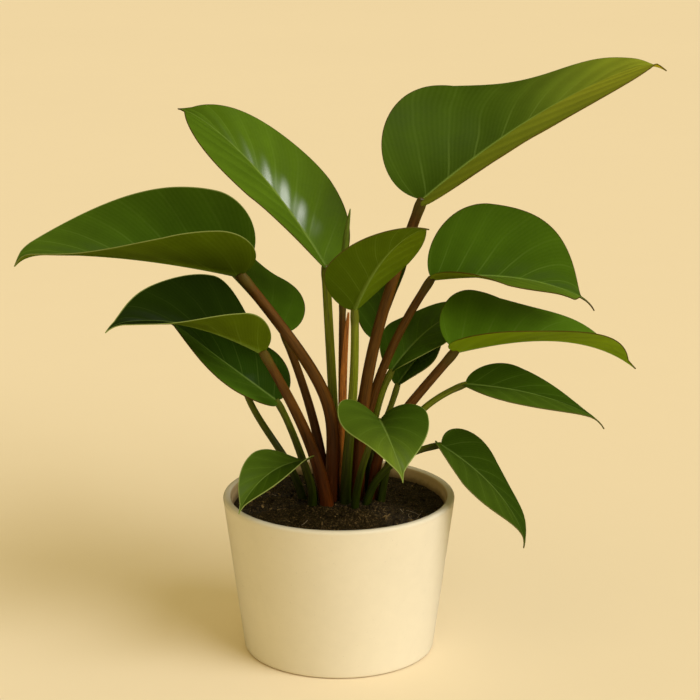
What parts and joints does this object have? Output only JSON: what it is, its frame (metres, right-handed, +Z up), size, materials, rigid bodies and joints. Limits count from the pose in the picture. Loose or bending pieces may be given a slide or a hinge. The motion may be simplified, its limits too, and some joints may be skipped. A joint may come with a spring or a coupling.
{
  "type": "potted congo apple philodendron",
  "caption": "Clump-forming aroid house plant with large pointed glossy leaves on long red and green stems, rooted in dark soil in a plain tapered round cream pot.",
  "frame": {"origin": "centre of the pot's flat underside, on the surface that the pot stands on", "axes": "+Z up along the pot's axis; +X to the viewer's right and +Y away from the viewer, with the picture's viewer at -Y; the plant is widest along X"},
  "size_m": [0.4972, 0.2422, 0.4477],
  "materials": {
    "cream_glaze": "satin",
    "potting_soil": "rough",
    "root": "matte",
    "light_leaf": "waxy",
    "green_leaf": "waxy",
    "dark_leaf": "waxy",
    "red_stem": "satin",
    "green_stem": "satin",
    "dry_sheath": "matte"
  },
  "bodies": {
    "root": {"pot": "cream_glaze", "soil": "potting_soil", "root_crown": "root", "leaf_01_blade": "light_leaf", "leaf_01_stem": "red_stem", "leaf_02_blade": "light_leaf", "leaf_02_stem": "green_stem", "leaf_03_blade": "green_leaf", "leaf_03_stem": "red_stem", "leaf_04_blade": "dark_leaf", "leaf_04_stem": "red_stem", "leaf_05_blade": "dark_leaf", "leaf_05_stem": "green_stem", "leaf_06_blade": "dark_leaf", "leaf_06_stem": "red_stem", "leaf_07_blade": "green_leaf", "leaf_07_stem": "green_stem", "leaf_08_blade": "green_leaf", "leaf_08_stem": "red_stem", "leaf_09_blade": "green_leaf", "leaf_09_stem": "red_stem", "leaf_10_blade": "dark_leaf", "leaf_10_stem": "green_stem", "leaf_11_blade": "dark_leaf", "leaf_11_stem": "green_stem", "leaf_12_blade": "green_leaf", "leaf_12_stem": "green_stem", "leaf_13_blade": "green_leaf", "leaf_13_stem": "green_stem", "leaf_14_blade": "green_leaf", "leaf_14_stem": "green_stem", "leaf_15_blade": "green_leaf", "leaf_15_stem": "green_stem", "leaf_16_blade": "dark_leaf", "leaf_16_stem": "green_stem", "leaf_17_blade": "dark_leaf", "leaf_17_stem": "green_stem", "new_leaf_roll": "light_leaf", "new_leaf_stem": "red_stem", "leaf_sheath": "dry_sheath"}
  },
  "joints": []
}
